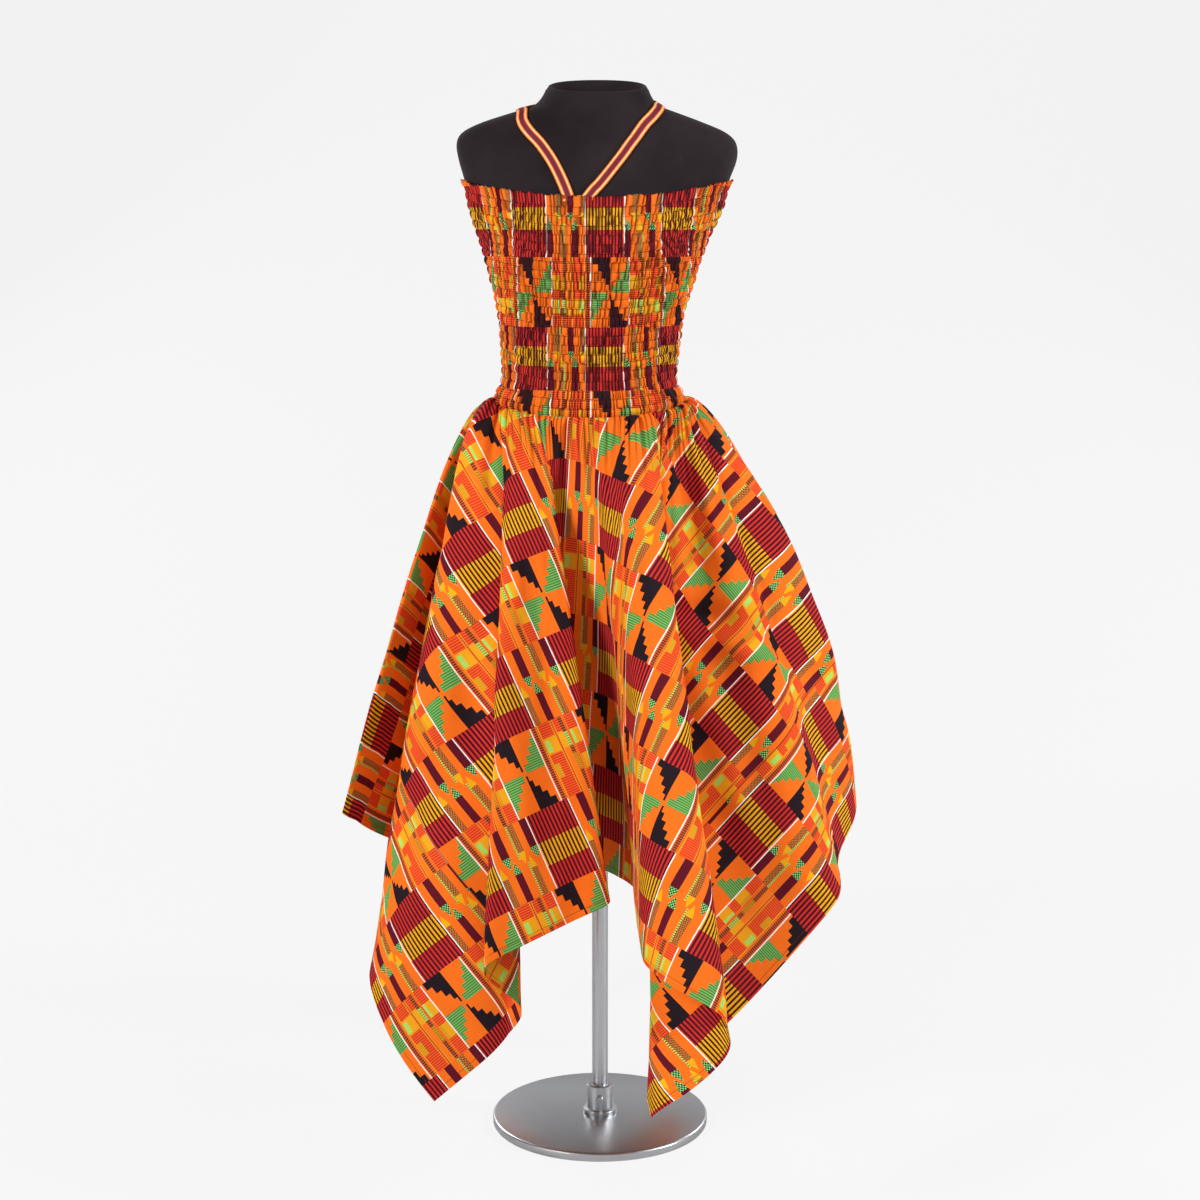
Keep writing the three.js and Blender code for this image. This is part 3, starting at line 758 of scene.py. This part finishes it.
ruffle = np.where(level < 0, 1.5 * np.minimum(-level, 1), 0)
belt_side = 3 * belt * (1 - front_share(angle))
stand_off = 1.0 + flare + ridge + ruffle + belt_side - 2.2 * np.minimum(inside_facing * 2, 1)
stand_off = np.maximum(stand_off, 0.4 + flare)
bodice_points = form_point(z, angle, stand_off)
heading_wave = 1.2 * np.sin(2 * math.pi * (PUCKERS / 2 * share_round + wander))
bodice_points[..., 2] += np.where(level < -0.9, heading_wave, 0)

# Position in the cloth. In front it is gathered evenly and its strips hang upright, and the rest
# of its width is gathered closer behind. A strip starts at PRINT_START across the front.
PRINT_START = 38
HIDDEN_IN_GROOVES = 0.4
smooth_bodice = form_point(z, angle, 3)
round_steps = np.linalg.norm(np.diff(smooth_bodice, axis=0), axis=-1)
travel = np.concatenate([np.zeros((1, z.shape[1])), np.cumsum(round_steps, axis=0)])
front_column = BODICE_COLUMNS // 2
from_front = travel - travel[front_column]
half_round = travel[-1] / 2
side = half_round / 2
behind = (BODICE_WIDTH / 2 - FRONT_FULLNESS * side) * np.clip((np.abs(from_front) - side) / side, 0, 1)
cloth_round = np.sign(from_front) * (FRONT_FULLNESS * np.minimum(np.abs(from_front), side) + behind)
front_x = smooth_bodice[front_column, :, 0]
hidden = HIDDEN_IN_GROOVES * BODICE_WIDTH / PUCKERS / (2 * math.pi)
in_grooves = hidden * np.sin(2 * math.pi * phase_round)
cloth_across = FRONT_FULLNESS * (PRINT_START - front_x) - cloth_round - in_grooves
CLOTH_PER_HEIGHT = [(960, -170), (1030, -96.2), (1112, 0), (1202, 96.2), (1320, 222)]
heights, lengths = np.array(CLOTH_PER_HEIGHT, float).T
cloth_down = CLOTH_ROW + np.interp(z, heights, lengths)
cut_map = np.stack([cloth_across, cloth_down], axis=-1) * MM
rows_map = np.stack([phase_round, np.maximum(level, -0.5)], axis=-1)
bodice_maps = [("cut", cut_map), ("rows", rows_map)]
bodice = grid_object("shirred_bodice", bodice_points[:-1], True, shirred_cotton, bodice_maps)
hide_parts("bodice")
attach(bodice, "root")


# ---- Skirt ------------------------------------------------------------------------------
# A square of the same cotton with a round hole gathered onto the bodice: one full width of the
# cloth and a narrower piece joined along each side. Its edges have a narrow turned hem, and its
# four corners hang as points. It falls in the folds listed here, in order round the waist.
SKIRT_HALF = 790
SKIRT_HOLE = 190
SEAM_LEFT = -568
SEAM_RIGHT = 592
FALL = 600
FALL_STEPS, MOST_LEAN = 30, 0.95
PUFF_REACH = 45
FOLDS = np.array([
    # cut, waist, x, y, bend, belly, puff
    [-87.5, -100, -350, -145, 3, 0.1, 0.17],
    [-71, -92, -222, 55, 3, 0.1, 0.1],
    [-51.5, -83, -293, -190, 6, 0.2, 0.2],
    [-39.2, -72, -113, -205, 2.5, 0.4, 0.05],
    [-36, -68, -103, -192, 1.4, 0, 0],
    [-31.2, -60, -152, -247, 1.8, 0, 0.05],
    [-17.2, -33, 24, -222, 2.5, 0, 0],
    [-9, -25, -78, -178, 2, 0, 0],
    [-5, -20, -95, -130, 1.9, 0, 0],
    [1.1, -14, -85, -62, 2.5, 0, 0],
    [7.2, -8, 0, -85, 2.5, 0, 0],
    [13.4, -2, 50, -145, 2.5, 0, 0],
    [20, 6, 42, -228, 3, 0, 0],
    [30.3, 24, 52, -372, 3, 0.1, 0],
    [37.4, 38, 153, -340, 3, 0.1, 0],
    [45.8, 45, 50, -258, 2.5, -0.7, 0],
    [66, 76, 298, -215, 4, 0.1, 0],
    [72, 84, 298, -150, 3, 0.3, 0],
    [80, 90, 354, -62, 4, 0.85, 0],
    [97, 106, 325, 193, 5, 0.6, 0.1],
    [110, 116, 150, 129, 5, 0.5, 0],
    [124, 127, 215, 318, 5, 0.5, 0.1],
    [138, 139, 95, 158, 5, 0.5, 0],
    [152, 152, 75, 357, 5, 0.5, 0.1],
    [164, 164, 10, 198, 5, 0.5, 0],
    [177, 177, -30, 372, 5, 0.5, 0.1],
    [190, 190, -85, 202, 5, 0.5, 0],
    [204, 205, -150, 380, 5, 0.5, 0.1],
    [217, 218, -150, 205, 5, 0.5, 0],
    [232, 232, -280, 366, 5, 0.4, 0.1],
    [244, 243, -218, 216, 5, 0.4, 0],
    [258, 253, -332, 48, 3, 0.3, 0.2],
    [264, 256, -306, -30, 3, 0.2, 0.1],
])
LOOPED = np.vstack([FOLDS + [turn, turn, 0, 0, 0, 0, 0] for turn in (-360, 0, 360)])


def straight(column, cut):
    return np.interp(cut, LOOPED[:, 0], LOOPED[:, column])


def reach(column, cut):
    """A fold's reach at FALL below the waist: straight between folds and rounded at each."""
    found = straight(column, cut)
    for fold in LOOPED:
        bend = fold[4]
        u = (cut - fold[0] + bend) / (2 * bend)
        before, after = straight(column, fold[0] - bend), straight(column, fold[0] + bend)
        rounded = (1 - u) ** 2 * before + 2 * u * (1 - u) * fold[column] + u**2 * after
        found = np.where((u > 0) & (u < 1), rounded, found)
    return found


def skirt_base(cut, down):
    """Points of the smooth skirt at cut angles and distances below the waist seam."""
    waist = straight(1, cut)
    start_x = WAIST["x"] + WAIST["half_width"] * np.sin(np.radians(waist))
    start_y = -WAIST["half_depth"] * np.cos(np.radians(waist))
    away_x, away_y = reach(2, cut) - start_x, reach(3, cut) - start_y
    belly, puff = straight(5, cut), straight(6, cut)
    t = down / FALL
    share = puff * (1 - np.exp(-down / PUFF_REACH)) + (1 - puff) * t * (1 + belly * (1 - t))
    fallen = np.zeros_like(down)
    for k in range(FALL_STEPS):
        d = down * (k + 0.5) / FALL_STEPS
        outwards = (puff * np.exp(-d / PUFF_REACH) / PUFF_REACH
                    + (1 - puff) * (1 + belly - 2 * belly * d / FALL) / FALL)
        lean = np.minimum(np.abs(np.hypot(away_x, away_y) * outwards), MOST_LEAN)
        fallen += np.sqrt(1 - lean**2) * down / FALL_STEPS
    return np.stack([start_x + away_x * share, start_y + away_y * share, waist_height(waist) - fallen],
                    axis=-1)


GATHERS = [
    # how many round the waist, height, how far down they last, shift
    (17, 1.6, 300, 0.4),
    (26, 2.2, 200, 1.9),
    (37, 2.8, 130, 3.1),
    (53, 2.4, 80, 5.0),
]
SEAM_TUCK, SEAM_TUCK_REACH = 2.5, 3
RISE_REACH = 6
FINE_GATHERS = 104
FINE_GATHER_HEIGHT, FINE_GATHER_REACH = 3.4, 60
CRUMPLE_HEIGHT, CRUMPLE_START = 1.3, 120
CREASES = [
    # cut, down, length, width, turned, depth: soft troughs and ridges
    (60, 290, 150, 20, 68, -9),
    (62, 335, 120, 18, 60, 8),
    (55, 250, 130, 22, 78, 7),
    (58, 130, 200, 20, 5, -7),
    (51, 150, 220, 22, 4, 7),
    (57, 470, 220, 24, 8, 7),
    (53, 540, 200, 30, 55, -7),
    (62, 640, 160, 26, 50, 6),
    (76, 300, 200, 22, -12, 6),
    (78, 430, 180, 26, 40, -6),
    (-80, 240, 200, 24, 6, -6),
    (-78, 420, 160, 26, -30, 6),
    (-47, 260, 260, 26, -4, 7),
    (-43, 430, 240, 22, 12, -7),
    (-48, 560, 260, 34, -24, -8),
    (-43, 700, 200, 28, 14, 7),
    (-27, 160, 180, 16, -3, 5),
    (-23, 320, 260, 18, 5, -6),
    (-27, 500, 240, 22, 8, 6),
    (-22, 640, 180, 22, -10, -5),
    (-9, 180, 200, 14, 3, -4),
    (-6, 360, 200, 14, -3, 4),
    (34, 200, 200, 16, -4, 5),
    (33, 380, 240, 20, 5, -6),
    (35, 640, 200, 28, 14, 6),
    (41, 780, 160, 28, -20, -6),
    (90, 300, 260, 34, 8, 6),
    (104, 430, 220, 30, -14, -6),
    (131, 380, 260, 34, 10, 6),
    (145, 520, 240, 34, -12, -6),
    (158, 260, 240, 30, 6, 5),
    (171, 440, 220, 32, -9, -6),
    (184, 330, 240, 30, 8, 5),
    (197, 500, 220, 34, -12, -6),
    (211, 280, 240, 30, 7, 5),
    (225, 560, 260, 40, 16, -6),
    (238, 360, 240, 30, -8, 6),
    (251, 460, 220, 34, 12, -5),
]


def gather_count(waist):
    """How many fine gathers there are up to an angle round the waist, in radians."""
    return (FINE_GATHERS * waist / 2 + 1.1 * np.sin(3 * waist) + 1.3 * np.sin(7 * waist + 2)
            + np.sin(17 * waist)) / math.pi


def relief(cut, down):
    """Height of the gathers, creases and small crumples over the smooth skirt."""
    a = np.radians(cut)
    waist = np.radians(straight(1, cut))
    height = np.zeros_like(down)
    rise = 1 - np.exp(-down / RISE_REACH)
    for count, size, lasts, shift in GATHERS:
        turned = count * waist / 2 + shift + 1.1 * np.sin(3 * waist + shift) + 0.6 * np.sin(7 * waist - shift)
        wave = 2 * np.abs(np.sin(turned)) ** 0.8 - 0.6
        uneven = 1 + 0.45 * np.sin(5 * waist + 2 * shift)
        height += size * rise * np.exp(-down / (lasts * uneven)) * wave
    fine = np.abs(np.sin(math.pi * gather_count(waist))) ** 0.8
    height += FINE_GATHER_HEIGHT * fine * rise * np.exp(-down / FINE_GATHER_REACH)
    height -= SEAM_TUCK * np.exp(-down / SEAM_TUCK_REACH)
    flat_radius = down + SKIRT_HOLE
    for turn in (-360, 0, 360):
        for middle, depth_down, length, width, turned, size in CREASES:
            sideways = np.radians(cut - middle - turn) * flat_radius
            along = down - depth_down
            c, s = math.cos(math.radians(turned)), math.sin(math.radians(turned))
            run = along * c + sideways * s
            off = sideways * c - along * s + 0.0006 * run**2
            near = np.abs(cut - middle - turn) < 60
            height += np.where(near, size * np.exp(-((run / length) ** 2) * 2 - (off / width) ** 2), 0)
    flat_x, flat_y = flat_radius * np.sin(a), -flat_radius * np.cos(a)
    wide = (np.sin(flat_x / 47 + 1.7 * np.sin(flat_y / 83))
            * np.sin(flat_y / 59 + 1.3 * np.sin(flat_x / 71 + 2)))
    narrow = 0.5 * np.sin(flat_x / 23 + 2.1 * np.sin(flat_y / 41 + 1)) * np.sin(flat_y / 31 + 0.7)
    return height + CRUMPLE_HEIGHT * (wide + narrow) * np.clip(down / CRUMPLE_START, 0, 1)


def skirt_point(cut, down):
    """Points of the skirt with its relief along the cloth's own normal."""
    base = skirt_base(cut, down)
    across = skirt_base(cut + 0.3, down) - skirt_base(cut - 0.3, down)
    along = skirt_base(cut, down + 3) - skirt_base(cut, np.maximum(down - 3, 0))
    normal = np.cross(along, across)
    normal /= np.maximum(np.linalg.norm(normal, axis=-1, keepdims=True), 1e-9)
    return base + normal * relief(cut, down)[..., None]


def hem_distance(cut):
    a = np.radians(cut)
    return SKIRT_HALF / np.maximum(np.abs(np.cos(a)), np.abs(np.sin(a))) - SKIRT_HOLE


def seam_distance(cut):
    side = np.sin(np.radians(cut))
    seam = np.where(side < 0, SEAM_LEFT, SEAM_RIGHT)
    return np.where(np.abs(side) < 0.01, 1e6, seam / np.where(np.abs(side) < 0.01, 1, side)) - SKIRT_HOLE


def seam_end(seam):
    return math.degrees(math.atan(abs(seam) / SKIRT_HALF))


WAIST_EASE = 26
WAIST_EASE_REACH = 250


def cloth_map(cut, down, turned, across_start, down_start):
    """Position in the printed cloth, in metres, for a piece laid upright or turned round. The
    gathers take up a little of its length near the waist."""
    radius = down + SKIRT_HOLE + WAIST_EASE * np.exp(-down / WAIST_EASE_REACH)
    flat_x = (down + SKIRT_HOLE) * np.sin(np.radians(cut))
    flat_y = radius * np.cos(np.radians(cut))
    sign = -1 if turned else 1
    return np.stack([sign * flat_x + across_start, sign * flat_y + down_start], axis=-1) * MM


printed_cotton = cotton_material("printed cotton", False)
MAIN_PRINT = (False, 62, -265.2)
LEFT_PRINT = (False, 704, -574)
RIGHT_PRINT = (True, 822, 823.4)


def skirt_piece(name, node, angles, top, bottom, rows, closed, print_place):
    """One cut piece of the skirt, in columns of points from its top edge down to its bottom edge."""
    share = np.linspace(0, 1, rows) ** 1.15
    looped = np.append(angles, angles[0] + 360) if closed else angles
    cut, row = np.meshgrid(looped, share, indexing="ij")
    first, last = top(cut), bottom(cut)
    down = first + (last - first) * row
    points = skirt_point(cut, down)
    flat_x = np.abs((down + SKIRT_HOLE) * np.sin(np.radians(cut)))
    flat_y = np.abs((down + SKIRT_HOLE) * np.cos(np.radians(cut)))
    seam = np.where(np.sin(np.radians(cut)) < 0, abs(SEAM_LEFT), SEAM_RIGHT)
    edges = np.stack([SKIRT_HALF - np.maximum(flat_x, flat_y), np.abs(flat_x - seam)], axis=-1) * MM
    gathers = np.stack([gather_count(np.radians(straight(1, cut))), down * MM], axis=-1)
    maps = [("cut", cloth_map(cut, down, *print_place)), ("edges", edges), ("gathers", gathers)]
    made = grid_object(name, points[:-1] if closed else points, closed, printed_cotton, maps)
    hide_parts(node)
    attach(made, "root")


# Columns of points stand at even angles and also on every corner and seam end.
CUT_STEP = 0.42
END_GAP = 0.05
ends_left = (180 + seam_end(SEAM_LEFT), 360 - seam_end(SEAM_LEFT))
ends_right = (seam_end(SEAM_RIGHT), 180 - seam_end(SEAM_RIGHT))


def cut_angles(even_angles, turning_points):
    return np.unique(np.round(np.concatenate([even_angles, turning_points]), 3))


main_angles = cut_angles(np.arange(-90, 270, CUT_STEP),
                         [-45, 45, 135, 225, ends_left[0], ends_left[1] - 360, *ends_right])
left_angles = cut_angles(np.linspace(ends_left[0] + END_GAP, ends_left[1] - END_GAP, 262), [225, 315])
right_angles = cut_angles(np.linspace(ends_right[0] + END_GAP, ends_right[1] - END_GAP, 258), [45, 135])

skirt_piece(
    "skirt_full_width", "skirt_main", main_angles, np.zeros_like,
    lambda cut: np.minimum(hem_distance(cut), seam_distance(cut)), 100, True, MAIN_PRINT,
)
for hand, angles, width, print_place in (
    ("left", left_angles, SKIRT_HALF + SEAM_LEFT, LEFT_PRINT),
    ("right", right_angles, SKIRT_HALF - SEAM_RIGHT, RIGHT_PRINT),
):
    skirt_piece(
        f"skirt_{hand}_piece", f"skirt_side_{hand}", angles, seam_distance, hem_distance, 40, False,
        print_place,
    )


# ---- Halter ties ------------------------------------------------------------------------
# Two narrow strips of the striped part of the cloth, folded and stitched along both edges. They
# come out of the bodice's heading, cross the shoulders and are knotted at the nape.
TIE_WIDTH = 15
TIE_THICKNESS = 1.8
TIE_LIFT = 1.2
TIES = {
    "tie_left": [
        [1272, -10], [1281.5, -10.5], [1305, -13.5], [1330, -17.5], [1350, -22], [1366, -29], [1378, -40],
        [1386, -55], [1390, -74], [1393, -96], [1395, -120], [1397, -144], [1398, -170],
    ],
    "tie_right": [
        [1272, -3.5], [1280.5, -1.8], [1305, 3], [1330, 8], [1350, 13], [1366, 20], [1378, 31],
        [1387, 46], [1393, 66], [1396, 90], [1398, 116], [1398, 142], [1398, 170],
    ],
    "tie_tail_left": [[1394, 181], [1383, 183], [1364, 185], [1340, 187], [1316, 188.5]],
    "tie_tail_right": [[1394, 179], [1383, 177], [1362, 174], [1336, 172], [1309, 171]],
}

tie_cloth, tie_tree, tie_shader = plain_material("striped tie cloth", ORANGE, 0.72)
_, tie_across, _ = map_parts(tie_tree, "cut")
tie_stripes = banded(tie_across, [
    (0, ORANGE), (0.07, GOLD), (0.15, WHITE), (0.19, ORANGE), (0.28, SCARLET), (0.31, MAROON),
    (0.69, SCARLET), (0.72, ORANGE), (0.81, WHITE), (0.85, GOLD), (0.93, ORANGE),
])
wire(tie_stripes, tie_shader.inputs["Base Color"])
fine_relief(tie_tree, tie_shader, noise(tie_tree, None, 500, 2), 0.3, 0.0005)


def unit(vectors):
    return vectors / np.maximum(np.linalg.norm(vectors, axis=-1, keepdims=True), 1e-9)


def tie_band(name, route):
    """A folded strip along the form: slightly domed, with rounded edges."""
    route = np.array(route, float)
    fine_marks = np.linspace(0, len(route) - 1, len(route) * 9)
    table = np.column_stack([np.arange(len(route), dtype=float), route])
    z_along = curve_through(table, 1, fine_marks)
    angle_along = curve_through(table, 2, fine_marks)
    spine = form_point(z_along, angle_along)
    along = unit(np.gradient(spine, axis=0))
    out = unit(np.cross(form_point(z_along, angle_along + 1) - form_point(z_along, angle_along - 1),
                        form_point(z_along + 1, angle_along) - form_point(z_along - 1, angle_along)))
    wide = unit(np.cross(along, out))
    normal = np.cross(wide, along)
    rim = np.linspace(-math.pi / 2 + 0.03, 1.5 * math.pi - 0.03, 25)
    across = np.cos(rim) * TIE_WIDTH / 2
    up = np.where(np.sin(rim) >= 0, 1, 0.15) * np.abs(np.sin(rim)) ** 0.45 * np.sign(np.sin(rim))
    crown = TIE_THICKNESS * (0.5 + 0.5 * up)
    points = (spine[:, None] + wide[:, None] * across[None, :, None]
              + normal[:, None] * (TIE_LIFT + crown)[None, :, None])
    travel = np.concatenate([[0], np.cumsum(np.linalg.norm(np.diff(spine, axis=0), axis=1))])
    share = 0.5 - 0.5 * np.cos(rim)
    cut_values = np.stack(np.broadcast_arrays(share[:, None], travel[None, :] * MM), axis=-1)
    made = grid_object(name + "_band", points.transpose(1, 0, 2), False, tie_cloth, [("cut", cut_values)])
    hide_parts(name)
    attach(made, "root")


for tie_name, tie_route in TIES.items():
    tie_band(tie_name, tie_route)

# The knot: the two ties wound once round each other and pulled down to a small soft lump.
KNOT_HALF_WIDTH, KNOT_HALF_DEPTH, KNOT_HALF_HEIGHT = 14, 7.5, 10.5
knot_low, knot_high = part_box("tie_knot")
knot_middle = (np.array(knot_low) + np.array(knot_high)) / 2 / MM - AXIS / MM
lobes = np.linspace(0, 2 * math.pi, 64, endpoint=False)
rise_angles = np.linspace(0.02, math.pi - 0.02, 40)
lobe, up_angle = np.meshgrid(lobes, rise_angles, indexing="ij")
wound = 0.16 * np.exp(-((np.cos(up_angle) - 0.25 * np.sin(lobe)) / 0.12) ** 2)
swell = 1 + 0.09 * np.sin(3 * lobe + 4 * up_angle) - wound
knot_points = knot_middle + np.stack([
    KNOT_HALF_WIDTH * swell * np.sin(up_angle) * np.sin(lobe),
    -KNOT_HALF_DEPTH * swell * np.sin(up_angle) * np.cos(lobe),
    KNOT_HALF_HEIGHT * swell * np.cos(up_angle),
], axis=-1)
knot_map = np.stack([
    np.append(lobe, lobe[:1] + 2 * math.pi, axis=0) / (2 * math.pi) * 2 % 1,
    np.append(up_angle, up_angle[:1], axis=0) * 0.01,
], axis=-1)
knot = grid_object("nape_knot", knot_points, True, tie_cloth, [("cut", knot_map)])
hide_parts("tie_knot")
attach(knot, "root")
